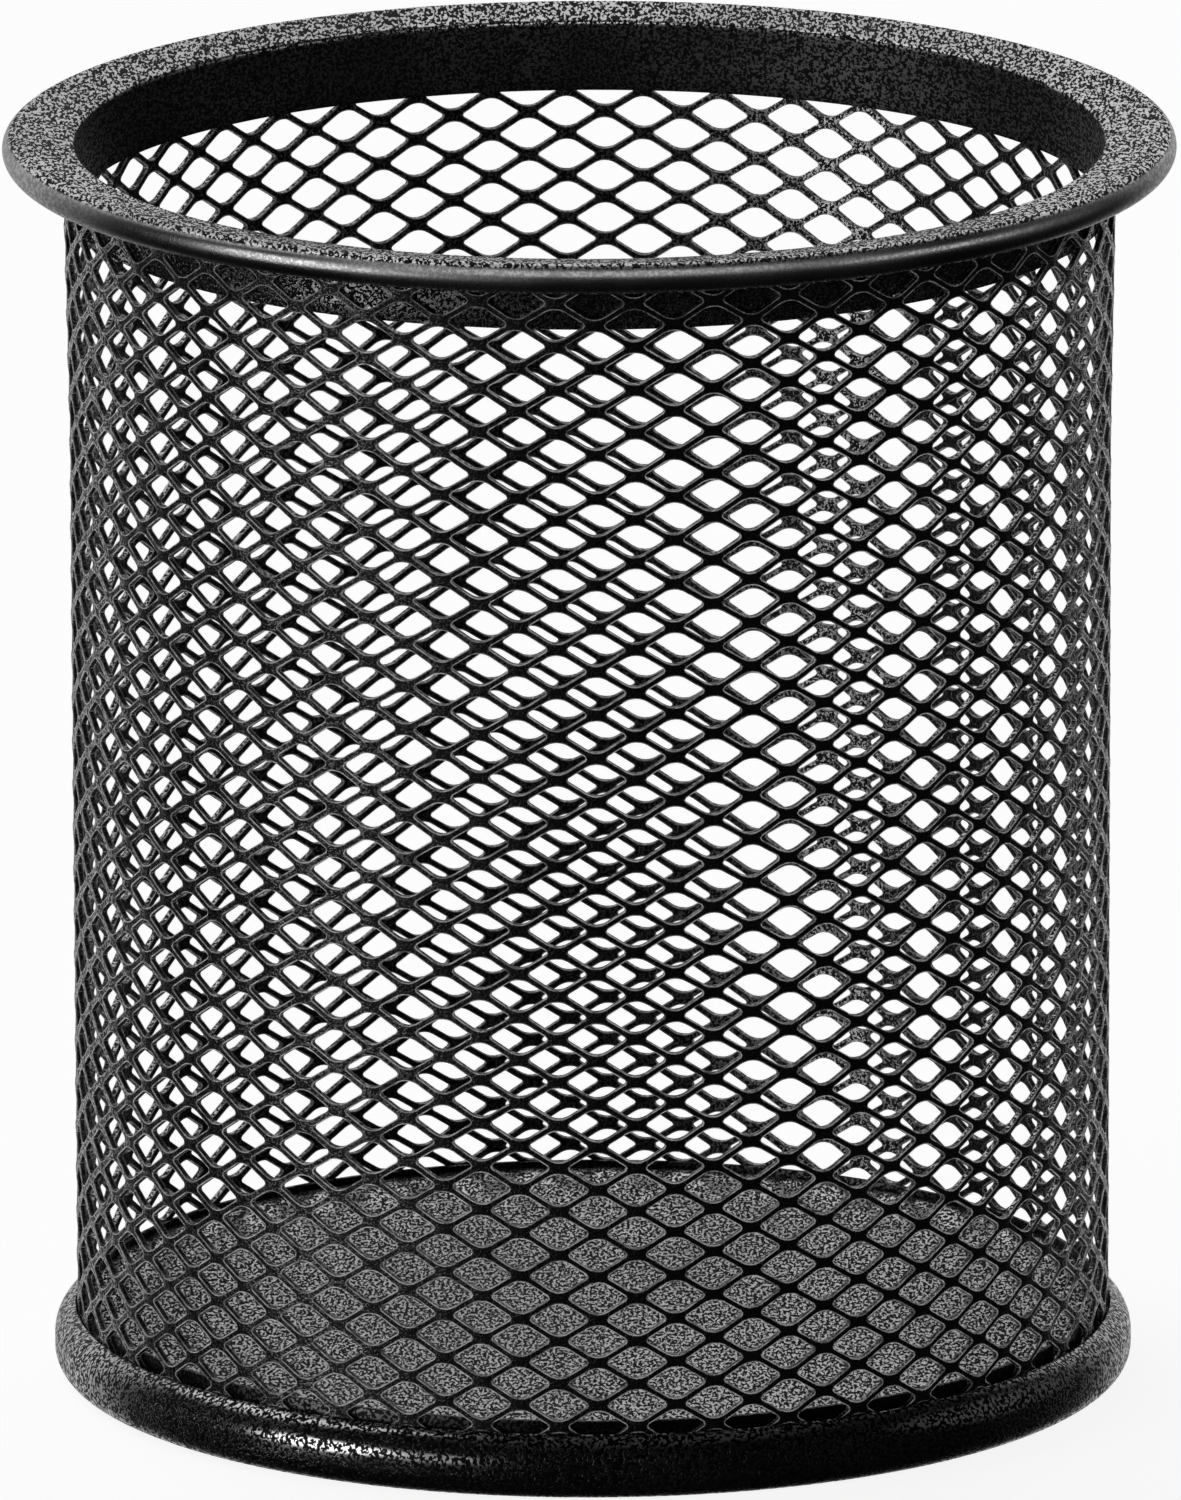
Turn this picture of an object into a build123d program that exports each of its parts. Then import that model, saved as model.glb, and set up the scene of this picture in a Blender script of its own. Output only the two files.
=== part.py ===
from build123d import *
import os
from math import atan2, cos, degrees, pi, radians, sin

# Round desk cup for pens. An expanded-metal wall is held between a rolled
# sheet-steel rim and a rolled foot ring, with a flat floor disc inside.
# Millimetres. Origin: centre of the base, on the surface that the cup stands on.
# +Z is up, and the cup is round about Z.

os.makedirs("parts", exist_ok=True)

# ---- driving dimensions -----------------------------------------------------
height = 100.0            # overall height, to the crown of the rim
sheet = 0.5               # thickness of the foot ring sheet
rim_sheet = 0.4           # thickness of the rim sheet

wall_thickness = 0.45     # depth of the expanded sheet
wall_profile = [          # height and outside radius: the wall widens to fit over the skirt
    (2.0, 40.7),
    (8.0, 40.7),
    (76.0, 40.9),
    (93.5, 41.25),
    (98.2, 41.25),
]
wall_radius = wall_profile[0][1]
wall_bottom = wall_profile[0][0]     # the wall is pinched in the foot ring below the neck
wall_top = wall_profile[-1][0]       # and ends under the rim flange

mesh_count = 42           # diamonds round the wall
mesh_pitch = 3.49         # height of one diamond with its strands
mesh_width = 4.4          # opening, long way
mesh_height = 2.7         # opening, short way
mesh_turn = -93.75        # direction of the middle of one column of openings
mesh_level = 49.2         # height of the middle of one opening in that column
rows_below = 25           # half rows below and above that opening
rows_above = 27

skirt_bottom = 93.75      # lower edge of the rim's inner skirt
rim_bend = 0.25           # middle-of-sheet radius of the tight bend over the wall
flange_rise = 8.0         # slope of the flange, in degrees
flange_length = 4.03
curl_radius = 0.98        # middle-of-sheet radius of the rolled outer edge
curl_turn = 215.0         # degrees that the outer edge turns, past level

ring_skirt_top = 5.95     # the foot ring's inner leg stands a little above the floor
foot_bend = 0.35          # inner bottom bend of the foot ring
foot_flat = 0.37          # flat that the cup stands on
foot_curl_low = 1.58      # lower and upper radii of the bulge, middle of sheet
foot_side = 0.87
foot_curl_high = 2.35
foot_lip_angle = 69.0

floor_top = 5.5
floor_thickness = 0.6
floor_edge = 0.15

wall_inside = wall_radius - wall_thickness
leg_radius = wall_inside - sheet / 2    # middle of the foot ring's inner leg
skirt_radius = wall_profile[-1][1] - wall_thickness - rim_sheet / 2


def strip_outline(x, z, heading, moves, t):
    """Closed outline of a bent strip of thickness t. moves are ("line", length)
    or ("arc", radius, turn), turn in degrees, anticlockwise positive."""
    left, right, ends = [], [], []

    def sides(px, pz, h):
        nx, nz = -sin(radians(h)) * t / 2, cos(radians(h)) * t / 2
        return (px + nx, pz + nz), (px - nx, pz - nz)

    a, b = sides(x, z, heading)
    start = (a, b)
    for move in moves:
        if move[0] == "line":
            x += move[1] * cos(radians(heading))
            z += move[1] * sin(radians(heading))
            c, d = sides(x, z, heading)
            left.append((a, c))
            right.append((b, d))
        else:
            r, turn = move[1], move[2]
            s = 1 if turn > 0 else -1
            cx = x - s * r * sin(radians(heading))
            cz = z + s * r * cos(radians(heading))

            def at(h):
                return cx + s * r * sin(radians(h)), cz - s * r * cos(radians(h))

            mid_a, mid_b = sides(*at(heading + turn / 2), heading + turn / 2)
            x, z = at(heading + turn)
            heading += turn
            c, d = sides(x, z, heading)
            left.append((a, mid_a, c))
            right.append((b, mid_b, d))
        a, b = c, d
    for piece in left + [(a, b)] + right + [start]:
        Line(*piece) if len(piece) == 2 else ThreePointArc(*piece)
    return x, z


# ---- top rim: skirt inside the wall, flange over it, edge rolled under -------
crown = height - rim_sheet / 2 - curl_radius
flange_start = crown + curl_radius * cos(radians(flange_rise)) \
    - flange_length * sin(radians(flange_rise))
bend_level = flange_start - rim_bend * cos(radians(flange_rise))

with BuildPart() as top_rim:
    with BuildSketch(Plane.XZ):
        with BuildLine():
            strip_outline(
                skirt_radius, skirt_bottom, 90,
                [("line", bend_level - skirt_bottom),
                 ("arc", rim_bend, flange_rise - 90),
                 ("line", flange_length),
                 ("arc", curl_radius, -(flange_rise + curl_turn))],
                rim_sheet)
        make_face()
    revolve(axis=Axis.Z)
top_rim.part.label = "top_rim"

# ---- foot ring: leg inside the wall, flat foot, bulge up to the neck ---------
with BuildPart() as base_ring:
    with BuildSketch(Plane.XZ):
        with BuildLine():
            strip_outline(
                leg_radius, ring_skirt_top, -90,
                [("line", ring_skirt_top - foot_bend - sheet / 2),
                 ("arc", foot_bend, 90),
                 ("line", foot_flat),
                 ("arc", foot_curl_low, 90),
                 ("line", foot_side),
                 ("arc", foot_curl_high, foot_lip_angle)],
                sheet)
        make_face()
    revolve(axis=Axis.Z)
base_ring.part.label = "base_ring"

# ---- floor disc, inside the foot ring's leg ----------------------------------
with BuildPart() as base_plate:
    with BuildSketch(Plane.XY.offset(floor_top - floor_thickness)):
        Circle(leg_radius - sheet / 2)
    extrude(amount=floor_thickness)
    fillet(base_plate.faces().sort_by(Axis.Z)[-1].edges(), floor_edge)
base_plate.part.label = "base_plate"

# ---- wall: one column of diamonds, repeated round the axis -------------------
# A column is a slice of the rolled sheet, one diamond wide. Whole openings lie
# along its middle, and halves of the openings between columns at its two edges.
step = 360 / mesh_count
cut_from = wall_inside - 0.9

with BuildPart(mode=Mode.PRIVATE) as opening:
    with BuildSketch(Plane.YZ.offset(cut_from)):
        with BuildLine():
            Polyline((-mesh_width / 2, 0), (0, mesh_height / 2),
                     (mesh_width / 2, 0), (0, -mesh_height / 2), close=True)
        make_face()
    extrude(amount=wall_thickness + 2.3)

places = []
for k in range(-rows_below, rows_above + 1):
    level = mesh_level + k * mesh_pitch / 2
    for side in ((0,) if k % 2 == 0 else (-0.5, 0.5)):
        places.append(Location((0, 0, level), (0, 0, side * step)))

with BuildPart() as column:
    with BuildSketch(Plane.XZ):
        with BuildLine():
            Polyline([(r, z) for z, r in wall_profile]
                     + [(r - wall_thickness, z) for z, r in reversed(wall_profile)], close=True)
        make_face()
    revolve(axis=Axis.Z, revolution_arc=step / 2)
    mirror(about=Plane.XZ)
    with Locations(*places):
        add(opening.part, mode=Mode.SUBTRACT)


def joins_next_column(face):
    """True for the faces where a column meets its neighbours."""
    if face.geom_type != GeomType.PLANE:
        return False
    c, n = face.center(), face.normal_at()
    turn = degrees(atan2(c.Y, c.X))
    across = Vector(-sin(radians(turn)), cos(radians(turn)), 0)
    return abs(abs(turn) - step / 2) < 1e-4 and abs(abs(n.dot(across)) - 1) < 1e-6


skin = [f for f in column.part.faces() if not joins_next_column(f)]
turned = [Location((0, 0, 0), (0, 0, mesh_turn + i * step)) for i in range(mesh_count)]

with BuildPart() as mesh_wall:
    add(Solid(Shell([f.moved(turn) for turn in turned for f in skin])), clean=False)
mesh_wall.part.label = "mesh_wall"

# ---- write ---------------------------------------------------------------
export_step(top_rim.part, "parts/top_rim.step")
export_step(base_ring.part, "parts/base_ring.step")
export_step(base_plate.part, "parts/base_plate.step")
export_step(mesh_wall.part, "parts/mesh_wall.step", write_pcurves=False)

outer = base_ring.part.bounding_box().size
rim = top_rim.part.bounding_box()
print("foot ring", outer.X, outer.Z, "rim", rim.max.Z, rim.size.X)
print("column volume x count", column.part.volume * mesh_count, "openings",
      len(skin), "faces a column", flush=True)
print("wall volume", mesh_wall.part.volume, flush=True)
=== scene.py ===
import math

import bpy
import numpy as np
from mathutils import Matrix, Vector


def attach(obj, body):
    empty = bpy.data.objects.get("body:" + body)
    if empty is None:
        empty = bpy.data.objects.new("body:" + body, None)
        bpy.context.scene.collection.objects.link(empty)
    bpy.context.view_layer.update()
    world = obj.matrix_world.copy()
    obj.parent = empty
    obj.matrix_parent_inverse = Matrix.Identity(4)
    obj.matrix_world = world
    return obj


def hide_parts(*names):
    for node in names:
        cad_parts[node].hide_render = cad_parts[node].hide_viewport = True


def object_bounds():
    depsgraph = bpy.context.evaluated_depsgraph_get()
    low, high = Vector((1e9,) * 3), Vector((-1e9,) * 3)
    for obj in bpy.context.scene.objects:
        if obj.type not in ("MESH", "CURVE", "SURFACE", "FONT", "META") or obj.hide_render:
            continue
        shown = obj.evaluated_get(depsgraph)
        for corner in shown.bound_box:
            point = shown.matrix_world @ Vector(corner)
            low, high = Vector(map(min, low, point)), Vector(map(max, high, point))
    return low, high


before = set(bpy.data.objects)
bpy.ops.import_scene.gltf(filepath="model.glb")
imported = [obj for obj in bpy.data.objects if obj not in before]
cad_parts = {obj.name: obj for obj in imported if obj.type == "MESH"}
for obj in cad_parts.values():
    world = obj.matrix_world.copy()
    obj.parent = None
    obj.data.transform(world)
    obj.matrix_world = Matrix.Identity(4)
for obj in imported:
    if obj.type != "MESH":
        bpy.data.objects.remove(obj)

cad_lo, cad_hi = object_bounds()
MM = 0.001


# =============================================================== mesh helpers
def make_mesh(name, verts_mm, faces, sharp=40.0):
    """A smooth-shaded mesh from millimetre vertices, with edges sharp above an angle."""
    me = bpy.data.meshes.new(name)
    me.from_pydata((np.asarray(verts_mm, float) * MM).tolist(), [], faces)
    me.update()
    me.polygons.foreach_set("use_smooth", np.ones(len(me.polygons), bool))
    if sharp is not None:
        me.set_sharp_from_angle(angle=math.radians(sharp))
    ob = bpy.data.objects.new(name, me)
    bpy.context.scene.collection.objects.link(ob)
    return ob


def strip_outline(x, z, heading, moves, t, step=7.0, end_steps=6):
    """Closed outline, as (radius, height) points, of a bent strip with rounded
    sheared ends. moves are ("line", length) or ("arc", radius, turn)."""
    mid = [(x, z, heading)]
    for move in moves:
        if move[0] == "line":
            n = max(1, int(round(move[1] / 1.2)))
            for k in range(1, n + 1):
                d = move[1] * k / n
                mid.append((x + d * math.cos(math.radians(heading)),
                            z + d * math.sin(math.radians(heading)), heading))
            x, z = mid[-1][:2]
        else:
            r, turn = move[1], move[2]
            s = 1 if turn > 0 else -1
            cx = x - s * r * math.sin(math.radians(heading))
            cz = z + s * r * math.cos(math.radians(heading))
            n = max(2, int(math.ceil(abs(turn) / step)))
            for k in range(1, n + 1):
                h = heading + turn * k / n
                mid.append((cx + s * r * math.sin(math.radians(h)),
                            cz - s * r * math.cos(math.radians(h)), h))
            heading += turn
            x, z = mid[-1][:2]

    def side(p, s):
        px, pz, h = p
        return (px - s * math.sin(math.radians(h)) * t / 2,
                pz + s * math.cos(math.radians(h)) * t / 2)

    def cap(p, forward):
        """Points of a half-round end, from the strip's left side to its right,
        squashed so that the end stays nearly square."""
        px, pz, h = p
        out = []
        for k in range(1, end_steps):
            a = math.pi / 2 - math.pi * k / end_steps
            u = 0.30 * t * math.cos(a) ** 0.5
            v = 0.5 * t * math.copysign(abs(math.sin(a)) ** 0.6, a)
            ch, sh = math.cos(math.radians(h)), math.sin(math.radians(h))
            out.append((px + forward * u * ch - v * sh, pz + forward * u * sh + v * ch))
        return out

    left = [side(p, 1) for p in mid]
    right = [side(p, -1) for p in mid]
    # the strip's ends lie where the sheet ends, so the first and last points step back by the cap
    def back(p, d):
        px, pz, h = p
        return (px + d * math.cos(math.radians(h)), pz + d * math.sin(math.radians(h)), h)
    a0, a1 = back(mid[0], 0.30 * t), back(mid[-1], -0.30 * t)
    left[0], right[0] = side(a0, 1), side(a0, -1)
    left[-1], right[-1] = side(a1, 1), side(a1, -1)
    return left + cap(a1, 1) + right[::-1] + cap(a0, -1)[::-1]


def lathe(name, outline, segs=288, wobble=None, sharp=50.0):
    """Turns a closed (radius, height) outline about Z. wobble(theta, r, z) returns
    small (dr, dz) moves in millimetres."""
    pts = np.array(outline, float)
    n = len(pts)
    th = np.linspace(0, 2 * math.pi, segs, endpoint=False)
    T, R = np.meshgrid(th, pts[:, 0], indexing="ij")
    _, Z = np.meshgrid(th, pts[:, 1], indexing="ij")
    if wobble is not None:
        dr, dz = wobble(T, R, Z)
        R, Z = R + dr, Z + dz
    V = np.stack([R * np.cos(T), R * np.sin(T), Z], -1).reshape(-1, 3)
    faces = []
    area = 0.5 * np.sum(pts[:, 0] * np.roll(pts[:, 1], -1) - np.roll(pts[:, 0], -1) * pts[:, 1])
    for i in range(segs):
        a, b = i * n, ((i + 1) % segs) * n
        for j in range(n):
            k = (j + 1) % n
            f = (a + j, b + j, b + k, a + k)
            faces.append(f if area > 0 else f[::-1])
    return make_mesh(name, V, faces, sharp)


# ============================================================ driving sizes, mm
SHEET, RIM_SHEET = 0.5, 0.4
WALL_R, WALL_T = 40.7, 0.45
WALL_PROFILE = ((2.0, 40.7), (8.0, 40.7), (76.0, 40.9), (93.5, 41.25), (98.2, 41.25))   # height, outside radius
COUNT, PITCH = 42, 3.49
TURN0, LEVEL0 = -3.75, 49.2          # a column of openings, from -Y towards +X, and a row
ROW_LO, ROW_HI = -26, 28
LEG_R = WALL_R - WALL_T - SHEET / 2
SKIRT_R = WALL_PROFILE[-1][1] - WALL_T - RIM_SHEET / 2

# rim
SKIRT_BOTTOM, RIM_BEND, FLANGE_RISE, FLANGE_LEN, CURL_R, CURL_TURN = 93.75, 0.25, 8.0, 4.03, 0.98, 215.0
CROWN = 100.0 - RIM_SHEET / 2 - CURL_R
FLANGE_Z = CROWN + CURL_R * math.cos(math.radians(FLANGE_RISE)) - FLANGE_LEN * math.sin(math.radians(FLANGE_RISE))
BEND_Z = FLANGE_Z - RIM_BEND * math.cos(math.radians(FLANGE_RISE))
# foot ring
RING_TOP, FOOT_BEND, FOOT_FLAT, CURL_LOW, FOOT_SIDE, CURL_HIGH, LIP = 5.95, 0.35, 0.37, 1.58, 0.87, 2.35, 69.0
FLOOR_TOP, FLOOR_T, FLOOR_EDGE = 5.5, 0.6, 0.15


# =================================================================== the rim
def rolled_wobble(T, R, Z):
    """The faint unevenness of a rolled sheet edge: a few hundredths of a millimetre."""
    out = np.clip((R - 41.5) / 4.5, 0, 1)
    dr = -0.025 * out * (1 + np.sin(3 * T + 0.7) * 0.6 + np.sin(7 * T + 2.1) * 0.4)
    dz = -0.02 * out * (1 + np.sin(4 * T + 1.9) * 0.6 + np.sin(9 * T + 0.3) * 0.4)
    return dr, dz


rim_outline = strip_outline(
    SKIRT_R, SKIRT_BOTTOM, 90,
    [("line", BEND_Z - SKIRT_BOTTOM),
     ("arc", RIM_BEND, FLANGE_RISE - 90),
     ("line", FLANGE_LEN),
     ("arc", CURL_R, -(FLANGE_RISE + CURL_TURN))],
    RIM_SHEET)
rim = lathe("rolled_rim", rim_outline, wobble=rolled_wobble)

# ============================================================= the foot ring
ring_outline = strip_outline(
    LEG_R, RING_TOP, -90,
    [("line", RING_TOP - FOOT_BEND - SHEET / 2),
     ("arc", FOOT_BEND, 90),
     ("line", FOOT_FLAT),
     ("arc", CURL_LOW, 90),
     ("line", FOOT_SIDE),
     ("arc", CURL_HIGH, LIP)],
    SHEET)


def foot_wobble(T, R, Z):
    out = np.clip((R - 41.0) / 1.5, 0, 1)
    return -0.02 * out * (1 + np.sin(3 * T + 2.7) * 0.6 + np.sin(8 * T + 1.1) * 0.4), np.zeros_like(Z)


ring = lathe("foot_ring", ring_outline, wobble=foot_wobble)


# ============================================================ the floor disc
def disc(name, radius, top, thick, edge, segs=288):
    """A stamped floor disc with a rounded rim, and the faint hollow of a thin
    sheet welded at its edge."""
    prof = [(r, top - 0.05 * (1 - (r / radius) ** 2)) for r in np.linspace(0, radius - edge, 24)]
    prof += [(radius - edge + edge * math.sin(a), top - edge + edge * math.cos(a))
             for a in np.linspace(0, math.pi / 2, 6)[1:]]
    prof += [(radius, top - thick)]
    prof += [(r, top - thick - 0.0 * r) for r in np.linspace(radius, 0, 8)[1:]]
    prof = np.array(prof)
    n = len(prof)
    V, faces = [], []
    V.append((0, 0, prof[0, 1]))
    V.append((0, 0, prof[-1, 1]))
    inner = prof[1:-1]
    m = len(inner)
    for i in range(segs):
        a = 2 * math.pi * i / segs
        for r, z in inner:
            V.append((r * math.cos(a), r * math.sin(a), z))
    for i in range(segs):
        a, b = 2 + i * m, 2 + ((i + 1) % segs) * m
        faces.append((0, a, b))
        for j in range(m - 1):
            faces.append((a + j, a + j + 1, b + j + 1, b + j))
        faces.append((a + m - 1, 1, b + m - 1))
    return make_mesh(name, V, faces, 50.0)


plate = disc("floor_disc", LEG_R - SHEET / 2, FLOOR_TOP, FLOOR_T, FLOOR_EDGE)


# ======================================================= the expanded-metal wall
# Each opening is a rhombus with rounded corners. Strands run between the rows of
# openings and join at the bonds, so all share vertices in one closed skin.
SLOPE, HALF_W = 0.64, 2.42           # side slope, half width of the sharp rhombus
R_TOP, R_END = 1.55, 0.20            # corner radii
HALF = math.pi * WALL_R / COUNT      # half pitch round the wall
DEPTH = 0.45                         # depth of the strands, coat included
TILT = 3.0                           # lean of strands and bonds, degrees, top outwards


def opening_outline():
    """Quarter outline from the top centre to the right end, (x, z)."""
    phi = math.atan(SLOPE)
    zc = SLOPE * HALF_W - R_TOP / math.cos(phi)
    pts = [(R_TOP * math.sin(a), zc + R_TOP * math.cos(a)) for a in np.linspace(0, phi, 4)]
    xc = HALF_W - R_END / math.sin(phi)
    pts.append((xc + R_END * math.sin(phi), R_END * math.cos(phi)))
    pts.append((xc + R_END, 0.0))
    return pts


QUARTER = opening_outline()          # 0..3 round the top, 4 near the end, 5 the end


def lattice_shift(t, z):
    """The mesh was stretched and rolled slightly unevenly. Shift of a point, in
    degrees round the wall and millimetres up, at angle t from -Y and height z."""
    w = (1 - np.cos(t)) / 2
    dt = np.radians(2.0) * w
    dz = (1 - w) * (-0.15 - 0.0045 * (z - 50)) + w * (-0.47 - 0.009 * (z - 50))
    # slow local unevenness of a few hundredths of a millimetre
    dt = dt + np.radians(0.035) * (np.sin(5 * t + 0.11 * z) + np.sin(11 * t - 0.23 * z + 1.3))
    dz = dz + 0.018 * (np.sin(4 * t - 0.17 * z + 0.8) + np.sin(9 * t + 0.31 * z))
    return dt, dz


def build_wall():
    rows = list(range(ROW_LO, ROW_HI + 1))
    nr = len(rows)
    # vertex slots of one opening: 0 bond centre to its right, 1 left end, 2 right end,
    # 3..11 top outline left to right, 12..20 bottom outline left to right
    xs, zs = np.zeros(21), np.zeros(21)
    xs[0], zs[0] = HALF, 0
    xs[1], zs[1] = -QUARTER[5][0], 0
    xs[2], zs[2] = QUARTER[5][0], 0
    order = [(-QUARTER[k][0], QUARTER[k][1]) for k in (4, 3, 2, 1)] + \
            [(QUARTER[k][0], QUARTER[k][1]) for k in (0, 1, 2, 3, 4)]
    for i, (x, z) in enumerate(order):
        xs[3 + i], zs[3 + i] = x, z
        xs[12 + i], zs[12 + i] = x, -z
    R = np.array(rows)[:, None, None]
    C = np.arange(COUNT)[None, :, None]
    x = xs[None, None, :] + C * 2 * HALF + (R % 2) * HALF
    z = LEVEL0 + R * PITCH / 2 + zs[None, None, :]
    x, z = np.broadcast_arrays(x, z)
    # height of the strand's own middle plane where it passes, for the lean
    local = np.broadcast_to(zs[None, None, :], z.shape)
    # a strand's reference height runs from bond to bond: 0 at an opening's ends,
    # half a pitch at its top and bottom
    ref = np.broadcast_to((PITCH / 2) * (1 - np.abs(xs) / HALF) * np.sign(zs), z.shape)
    lean = (local - ref) * math.tan(math.radians(TILT))
    t = np.radians(TURN0) + x / WALL_R
    dt, dz = lattice_shift(t, z)
    t, zz = t + dt, z + dz
    half_t = DEPTH / 2
    skins = []
    # the rolled sheet is very slightly polygonal: bonds stand proud of the strands
    bond = np.exp(-((np.abs(xs) - HALF) / 0.9) ** 2)
    bond = bond + np.exp(-(xs / 0.9) ** 2) * (np.abs(zs) > 0.9)
    # the wall widens towards the rim to fit over its skirt
    mid_r = np.interp(zz, [z for z, _ in WALL_PROFILE], [r for _, r in WALL_PROFILE]) - WALL_T / 2
    for s, proud in ((1, 0.10), (-1, -0.02)):
        r = mid_r + lean + s * half_t + proud * bond[None, None, :] - 0.03 * (s > 0)
        skins.append(np.stack([r * np.sin(t), -r * np.cos(t), zz], -1))
    V = np.concatenate([skins[0].reshape(-1, 3), skins[1].reshape(-1, 3)])
    off = nr * COUNT * 21

    def vid(ri, c, k):
        return (ri * COUNT + (c % COUNT)) * 21 + k

    faces = []

    def skin_face(ids):
        """The same face on the outer skin and, turned over, on the inner one."""
        faces.append(tuple(ids))
        faces.append(tuple(i + off for i in reversed(ids)))

    def edge_face(a, b):
        """The cut face along the outline from a to b: outer skin to inner skin."""
        faces.append((a, b, b + off, a + off))

    for ri in range(nr - 1):
        odd = rows[ri] % 2
        for c in range(COUNT):
            cr = c + 1 if odd else c          # opening up and to the right
            cl = cr - 1
            top_bond = vid(ri + 1, cl, 0)
            # right half
            L = [vid(ri, c, k) for k in (7, 8, 9, 10, 11, 2)] + [vid(ri, c, 0)]
            U = [top_bond, vid(ri + 1, cr, 1)] + [vid(ri + 1, cr, k) for k in (12, 13, 14, 15, 16)]
            skin_face([L[0], L[1], U[0]])
            for i in range(5):
                skin_face([L[i + 1], L[i + 2], U[i + 1], U[i]])
            skin_face([L[6], U[6], U[5]])
            for i in range(5):
                edge_face(L[i + 1], L[i])     # underside of the strand
                edge_face(U[i + 1], U[i + 2])  # top of the strand
            # left half, mirrored
            L = [vid(ri, c, k) for k in (7, 6, 5, 4, 3, 1)] + [vid(ri, c - 1, 0)]
            U = [top_bond, vid(ri + 1, cl, 2)] + [vid(ri + 1, cl, k) for k in (20, 19, 18, 17, 16)]
            skin_face([L[1], L[0], U[0]])
            for i in range(5):
                skin_face([L[i + 2], L[i + 1], U[i], U[i + 1]])
            skin_face([U[6], L[6], U[5]])
            for i in range(5):
                edge_face(L[i], L[i + 1])
                edge_face(U[i + 2], U[i + 1])
    # close the cut bonds at the lower and upper edge of the sheet
    for c in range(COUNT):
        e = [vid(0, c, 2), vid(0, c, 0), vid(0, c + 1, 1)]
        edge_face(e[1], e[0]); edge_face(e[2], e[1])
        e = [vid(nr - 1, c, 2), vid(nr - 1, c, 0), vid(nr - 1, c + 1, 1)]
        edge_face(e[0], e[1]); edge_face(e[1], e[2])
    # drop the vertices that no face uses
    used = np.zeros(len(V), bool)
    for f in faces:
        for i in f:
            used[i] = True
    new = np.cumsum(used) - 1
    faces = [tuple(int(new[i]) for i in f) for f in faces]
    return make_mesh("mesh_sheet", V[used], faces, 36.0)


wall = build_wall()


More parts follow.
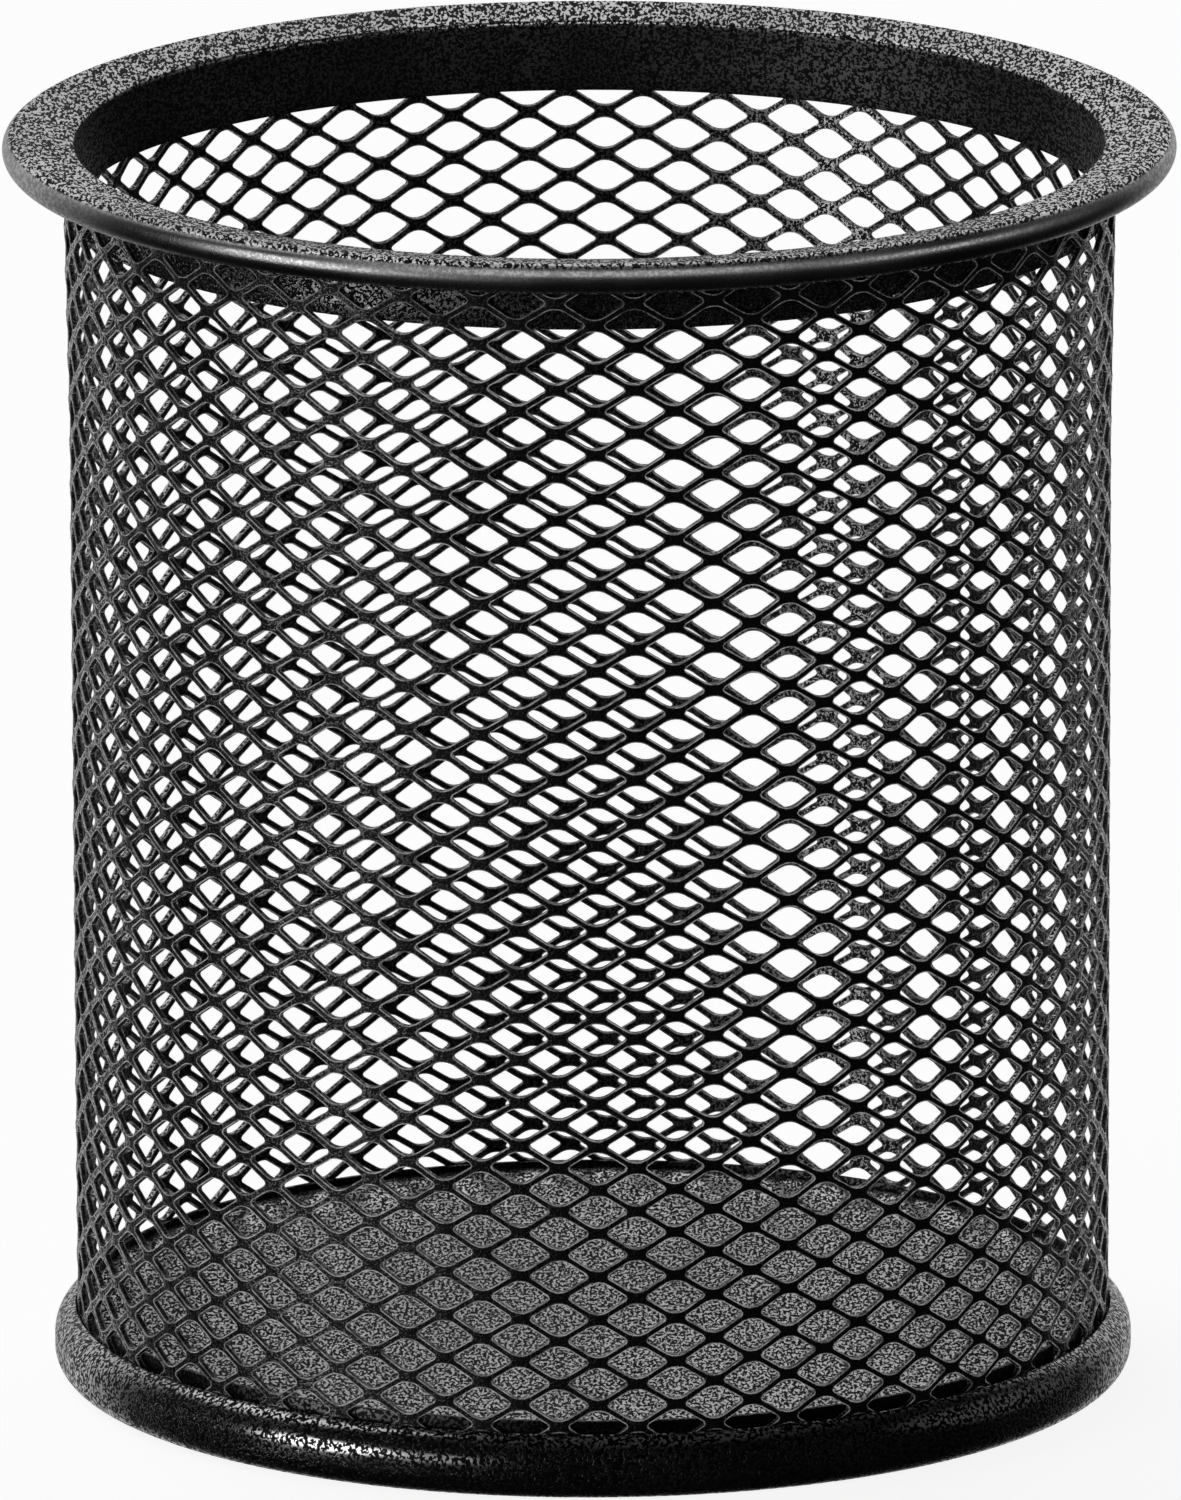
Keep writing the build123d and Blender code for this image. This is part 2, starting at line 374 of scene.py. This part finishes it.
# ================================================================== materials
def powder_coat(name, base, tint, rough, grain, grain_height, peel_height, specular, sparkle=0.1,
                bevel=None, painted_edge_highlight=0.0, flow=(1.0, 1.0, 1.0), soft=0.06, level_and_sheen_from=None,
                painted_shade_within=None):
    """Black powder coat: fine pimpled texture, slow orange peel, uneven tone and
    gloss, and pale painted highlight lines along raised edges. flow scales the grain along X, Y and Z, for a
    coat that ran a little while it cured; soft is how gradual the pimples' sides are.
    Beyond the distance level_and_sheen_from from the axis, in metres, the grain is levelled and the tone raised
    toward a fixed metal grey, a painted sheen;
    within the distance painted_shade_within the coat is darkened, painted shade."""
    m = bpy.data.materials.new(name)
    m.use_nodes = True
    nt = m.node_tree
    nt.nodes.clear()

    def node(kind, **props):
        n = nt.nodes.new(kind)
        for k, v in props.items():
            setattr(n, k, v)
        return n

    def put(n, socket, v):
        n.inputs[socket].default_value = v

    link = nt.links.new
    out = node("ShaderNodeOutputMaterial")
    bsdf = node("ShaderNodeBsdfPrincipled")
    link(bsdf.outputs["BSDF"], out.inputs["Surface"])
    put(bsdf, "IOR", 1.5)
    put(bsdf, "Specular IOR Level", specular)
    co = node("ShaderNodeTexCoord")
    run = node("ShaderNodeMapping")
    put(run, "Scale", flow)
    link(co.outputs["Object"], run.inputs["Vector"])

    def noise(scale, detail, roughness=0.5, distortion=0.0):
        n = node("ShaderNodeTexNoise")
        put(n, "Scale", scale)
        put(n, "Detail", detail)
        put(n, "Roughness", roughness)
        put(n, "Distortion", distortion)
        link(run.outputs["Vector"], n.inputs["Vector"])
        return n.outputs["Fac"]

    def ramp(value, lo, hi, a, b, interp="SMOOTHSTEP"):
        n = node("ShaderNodeMapRange")
        n.interpolation_type = interp
        put(n, "From Min", lo)
        put(n, "From Max", hi)
        put(n, "To Min", a)
        put(n, "To Max", b)
        link(value, n.inputs["Value"])
        return n.outputs["Result"]

    def math_(op, a, b):
        n = node("ShaderNodeMath", operation=op)
        for i, v in enumerate((a, b)):
            if isinstance(v, (int, float)):
                n.inputs[i].default_value = v
            else:
                link(v, n.inputs[i])
        return n.outputs[0]

    fine = noise(grain, 1.5, 0.55, 0.35)
    slow = noise(grain * 0.16, 2.0)
    cloud = noise(95.0, 3.0)
    pimples = ramp(fine, 0.515 - soft, 0.515 + soft, 0.0, 1.0)
    if level_and_sheen_from or painted_shade_within:
        axis = node("ShaderNodeVectorMath", operation="MULTIPLY")
        link(co.outputs["Object"], axis.inputs[0])
        axis.inputs[1].default_value = (1.0, 1.0, 0.0)
        away = node("ShaderNodeVectorMath", operation="LENGTH")
        link(axis.outputs["Vector"], away.inputs[0])
    # painted shade: within a distance of the axis the coat is darkened, inside the rim's skirt and on the foot
    # ring's inner leg
    if painted_shade_within:
        pimples = math_("MULTIPLY", pimples, ramp(away.outputs["Value"], painted_shade_within,
                                                  painted_shade_within + 0.0001, 0.45, 1.0))
    # painted sheen: on the rolled bead the grain is levelled and the tone raised toward a fixed metal grey, for
    # its highlight band
    if level_and_sheen_from:
        level_and_sheen = ramp(away.outputs["Value"], level_and_sheen_from, level_and_sheen_from + 0.00025, 0.0, 0.85)
        pimples = math_("ADD", math_("MULTIPLY", pimples, math_("SUBTRACT", 1.0, level_and_sheen)),
                        math_("MULTIPLY", level_and_sheen, 0.74))
    height = math_("ADD", math_("MULTIPLY", pimples, grain_height),
                   math_("MULTIPLY", slow, peel_height))
    bump = node("ShaderNodeBump")
    put(bump, "Strength", 1.0)
    put(bump, "Distance", 0.001)      # height is in millimetres
    link(height, bump.inputs["Height"])
    if bevel:
        bv = node("ShaderNodeBevel")
        bv.samples = 4
        put(bv, "Radius", bevel)
        link(bv.outputs["Normal"], bump.inputs["Normal"])
    link(bump.outputs["Normal"], bsdf.inputs["Normal"])

    # tone: black in the pits, metal-grey on the pimples, cloudy at large scale
    shade = node("ShaderNodeMix", data_type="RGBA")
    put(shade, 6, (*[c * 0.70 for c in tint], 1))
    put(shade, 7, (*tint, 1))
    link(ramp(cloud, 0.35, 0.65, 0.0, 1.0), shade.inputs[0])
    tone = node("ShaderNodeMix", data_type="RGBA")
    put(tone, 6, (*base, 1))
    link(shade.outputs[2], tone.inputs[7])
    link(math_("POWER", pimples, 2.0), tone.inputs[0])
    colour = tone.outputs[2]
    # gloss: the tops of the pimples are smooth, the hollows between them are not
    rgh = math_("ADD", math_("ADD", math_("MULTIPLY", pimples, -2 * sparkle), rough + sparkle),
                ramp(cloud, 0.3, 0.7, -0.04, 0.04))
    metal = ramp(pimples, 0.0, 0.2, 0.0, 1.0, "LINEAR")
    if painted_edge_highlight:
        # edges: where a rounded-over normal leaves the flat one, the coat is painted pale: a painted highlight
        # along the strands' edges
        geo = node("ShaderNodeNewGeometry")
        near = node("ShaderNodeBevel")
        near.samples = 6
        put(near, "Radius", 0.00020)
        dot = node("ShaderNodeVectorMath", operation="DOT_PRODUCT")
        link(near.outputs["Normal"], dot.inputs[0])
        link(geo.outputs["True Normal"], dot.inputs[1])
        edge_highlight_mask = math_("MULTIPLY", ramp(dot.outputs["Value"], 0.86, 0.995, 1.0, 0.0),
                    ramp(noise(600.0, 3.0, 0.7), 0.38, 0.58, 0.35 * painted_edge_highlight, painted_edge_highlight))
        # painted shade: the painted edge highlight is halved near the top, where the rim's skirt stands behind
        # the strands and blocks the light
        split = node("ShaderNodeSeparateXYZ")
        link(co.outputs["Object"], split.inputs[0])
        edge_highlight_mask = math_("MULTIPLY", edge_highlight_mask, ramp(split.outputs["Z"], 0.0905, 0.0945, 1.0, 0.5))
        edge_highlight_mix = node("ShaderNodeMix", data_type="RGBA")
        link(edge_highlight_mask, edge_highlight_mix.inputs[0])
        link(colour, edge_highlight_mix.inputs[6])
        put(edge_highlight_mix, 7, (0.92, 0.92, 0.93, 1))
        colour = edge_highlight_mix.outputs[2]
        rgh = math_("SUBTRACT", rgh, math_("MULTIPLY", edge_highlight_mask, 0.10))
        metal = math_("MULTIPLY", metal, math_("SUBTRACT", 1.0, math_("MULTIPLY", edge_highlight_mask, 0.95)))
    link(colour, bsdf.inputs["Base Color"])
    link(rgh, bsdf.inputs["Roughness"])
    link(metal, bsdf.inputs["Metallic"])
    return m


# the rim: painted sheen on its rolled bead, painted shade inside its skirt
rim_mat = powder_coat("rim_powder_coat", (0.0015, 0.0015, 0.0016), (0.80, 0.80, 0.81),
                      rough=0.42, grain=4400.0, grain_height=0.016, peel_height=0.006,
                      specular=0.12, sparkle=0.22, flow=(1.0, 0.36, 1.0), soft=0.02, level_and_sheen_from=0.04548,
                      painted_shade_within=0.04041)
# the foot ring: painted shade on its inner leg
ring_mat = powder_coat("foot_powder_coat", (0.0015, 0.0015, 0.0016), (0.60, 0.60, 0.61),
                       rough=0.29, grain=3400.0, grain_height=0.016, peel_height=0.006,
                       specular=0.12, sparkle=0.13, soft=0.02, painted_shade_within=0.04032)
plate_mat = powder_coat("floor_powder_coat", (0.002, 0.002, 0.0022), (0.90, 0.90, 0.91),
                        rough=0.44, grain=4400.0, grain_height=0.016, peel_height=0.006,
                        specular=0.20, sparkle=0.24, flow=(1.0, 0.36, 1.0), soft=0.04)
# the strands: pale painted highlight lines along their edges
mesh_mat = powder_coat("mesh_powder_coat", (0.002, 0.002, 0.0022), (0.46, 0.46, 0.465),
                       rough=0.36, grain=4400.0, grain_height=0.012, peel_height=0.006,
                       specular=0.30, sparkle=0.16, bevel=0.00008, painted_edge_highlight=1.0, soft=0.04)

for ob, mat, node_name, slot in ((rim, rim_mat, "top_rim", "rim_coat"),
                                 (ring, ring_mat, "base_ring", "foot_coat"),
                                 (plate, plate_mat, "base_plate", "floor_coat"),
                                 (wall, mesh_mat, "mesh_wall", "mesh_coat")):
    ob.data.materials.append(mat)
    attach(ob, "root")
    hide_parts(node_name)
    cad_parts[node_name].data.materials.clear()
    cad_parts[node_name].data.materials.append(mat)


# ====================================================== floor, light and camera
def make_stage():
    n = 96
    radius = 30.0
    V = [(0, 0, 0)] + [(radius * math.cos(2 * math.pi * i / n), radius * math.sin(2 * math.pi * i / n), 0) for i in range(n)]
    F = [(0, 1 + i, 1 + (i + 1) % n) for i in range(n)]
    me = bpy.data.meshes.new("studio_floor")
    me.from_pydata(V, [], F)
    me.update()
    ob = bpy.data.objects.new("studio_floor", me)
    bpy.context.scene.collection.objects.link(ob)
    m = bpy.data.materials.new("pale_floor")
    m.use_nodes = True
    nt = m.node_tree
    nt.nodes.clear()
    out = nt.nodes.new("ShaderNodeOutputMaterial")
    add = nt.nodes.new("ShaderNodeAddShader")
    dif = nt.nodes.new("ShaderNodeBsdfDiffuse")
    emi = nt.nodes.new("ShaderNodeEmission")
    dif.inputs["Color"].default_value = (0.40, 0.40, 0.40, 1)
    emi.inputs["Color"].default_value = (1, 1, 1, 1)
    emi.inputs["Strength"].default_value = 0.890
    nt.links.new(dif.outputs[0], add.inputs[0])
    nt.links.new(emi.outputs[0], add.inputs[1])
    nt.links.new(add.outputs[0], out.inputs["Surface"])
    me.materials.append(m)
    ob.location.z = cad_lo.z - 0.00002
    ob.visible_glossy = False
    return ob


floor = make_stage()


def make_world():
    """A pale studio: a lit backdrop behind the cup, a soft box overhead and one on
    the left, a weak one on the right, and a dim side towards the camera."""
    w = bpy.data.worlds.new("studio")
    bpy.context.scene.world = w
    w.use_nodes = True
    nt = w.node_tree
    nt.nodes.clear()
    link = nt.links.new
    co = nt.nodes.new("ShaderNodeTexCoord")

    def toward(azimuth, elevation):
        """Direction by azimuth from -Y towards +X, and elevation, in degrees."""
        a, e = math.radians(azimuth), math.radians(elevation)
        return Vector((math.sin(a) * math.cos(e), -math.cos(a) * math.cos(e), math.sin(e)))

    def box_light(d, inner, outer, strength):
        dot = nt.nodes.new("ShaderNodeVectorMath")
        dot.operation = "DOT_PRODUCT"
        dot.inputs[1].default_value = d
        link(co.outputs["Generated"], dot.inputs[0])
        mr = nt.nodes.new("ShaderNodeMapRange")
        mr.interpolation_type = "SMOOTHSTEP"
        mr.inputs["From Min"].default_value = math.cos(math.radians(outer))
        mr.inputs["From Max"].default_value = math.cos(math.radians(inner))
        mr.inputs["To Min"].default_value = 0.0
        mr.inputs["To Max"].default_value = strength
        link(dot.outputs["Value"], mr.inputs["Value"])
        return mr.outputs["Result"]

    parts = [
        box_light(toward(-172, 6), 30, 62, 0.66),      # backdrop
        box_light(toward(0, 88), 10, 35, 0.04),        # ceiling
        box_light(toward(-36, 3), 7, 17, 0.5),         # its dimmer side, nearer the front
        box_light(toward(-59, 5), 9, 19, 3.0),         # tall soft box, front left
        box_light(toward(-125, 58), 10, 24, 1.0),      # soft box, high on the left
        box_light(toward(100, 20), 12, 30, 0.08),       # weak fill, right
    ]
    total = None
    for p in parts:
        if total is None:
            total = p
        else:
            a = nt.nodes.new("ShaderNodeMath")
            a.operation = "ADD"
            link(total, a.inputs[0])
            link(p, a.inputs[1])
            total = a.outputs[0]
    a = nt.nodes.new("ShaderNodeMath")
    a.operation = "ADD"
    link(total, a.inputs[0])
    a.inputs[1].default_value = 0.004
    bg = nt.nodes.new("ShaderNodeBackground")
    bg.inputs["Color"].default_value = (1, 1, 1, 1)
    link(a.outputs[0], bg.inputs["Strength"])
    pale = nt.nodes.new("ShaderNodeBackground")
    pale.inputs["Color"].default_value = (0.985, 0.985, 0.985, 1)
    pale.inputs["Strength"].default_value = 1.0
    path = nt.nodes.new("ShaderNodeLightPath")
    mix = nt.nodes.new("ShaderNodeMixShader")
    link(path.outputs["Is Camera Ray"], mix.inputs[0])
    link(bg.outputs[0], mix.inputs[1])
    link(pale.outputs[0], mix.inputs[2])
    out = nt.nodes.new("ShaderNodeOutputWorld")
    link(mix.outputs[0], out.inputs["Surface"])


make_world()


def soft_box(name, location, target, size, power, colour=(1, 1, 1)):
    light = bpy.data.lights.new(name, "AREA")
    light.shape = "RECTANGLE"
    light.size, light.size_y = size
    light.energy = power
    light.color = colour
    ob = bpy.data.objects.new(name, light)
    ob.location = location
    ob.rotation_mode = "QUATERNION"
    ob.rotation_quaternion = (Vector(target) - Vector(location)).to_track_quat("-Z", "Y")
    bpy.context.scene.collection.objects.link(ob)
    return ob


def rim_light(name, azimuth, elevation, distance, size, radiance):
    """A soft box that lights the rim only, so that the foot stays dark."""
    a, e = math.radians(azimuth), math.radians(elevation)
    aim = Vector((0, 0, cad_hi.z))
    at = aim + distance * Vector((math.sin(a) * math.cos(e), -math.cos(a) * math.cos(e), math.sin(e)))
    ob = soft_box(name, at, aim, size, radiance * math.pi * size[0] * size[1])
    ob.visible_camera = False
    ob.light_linking.receiver_collection = rim_only
    return ob


rim_only = bpy.data.collections.new("rim_only")
rim_only.objects.link(rim)
rim_light("soft_box_front_top", 0, 50, 1.0, (1.1, 0.75), 1.05)
rim_light("soft_box_left", -65, 20, 1.0, (0.40, 0.35), 2.4)
rim_light("soft_box_right", 72, 24, 1.0, (0.65, 0.35), 1.2)


# ------------------------------------------------------------------- camera
def make_camera():
    """Long lens from the front, 14.2 degrees above the horizon."""
    distance, elevation, focus_px = 3.18036, math.radians(14.175), 40370.8
    centre = Vector((0, 0, 0.049871))
    cam = bpy.data.cameras.new("camera")
    cam.sensor_fit = "AUTO"
    cam.sensor_width = 36.0
    cam.lens = focus_px / 1500 * 36.0
    cam.clip_start, cam.clip_end = 0.1, 200.0
    ob = bpy.data.objects.new("camera", cam)
    bpy.context.scene.collection.objects.link(ob)
    back = Vector((0, -math.cos(elevation), math.sin(elevation)))
    ob.location = centre + back * distance + Vector((-0.0000653, 0, 0))
    ob.rotation_mode = "QUATERNION"
    ob.rotation_quaternion = (Matrix.Rotation(0, 3, "X").to_quaternion()
                              @ (-back).to_track_quat("-Z", "Y")
                              @ Matrix.Rotation(math.radians(-0.168), 3, "Z").to_quaternion())
    bpy.context.scene.camera = ob
    return ob


camera = make_camera()

view = bpy.context.scene.view_settings
view.view_transform = "Standard"
view.look = "None"
view.exposure = 0.0
view.gamma = 1.0
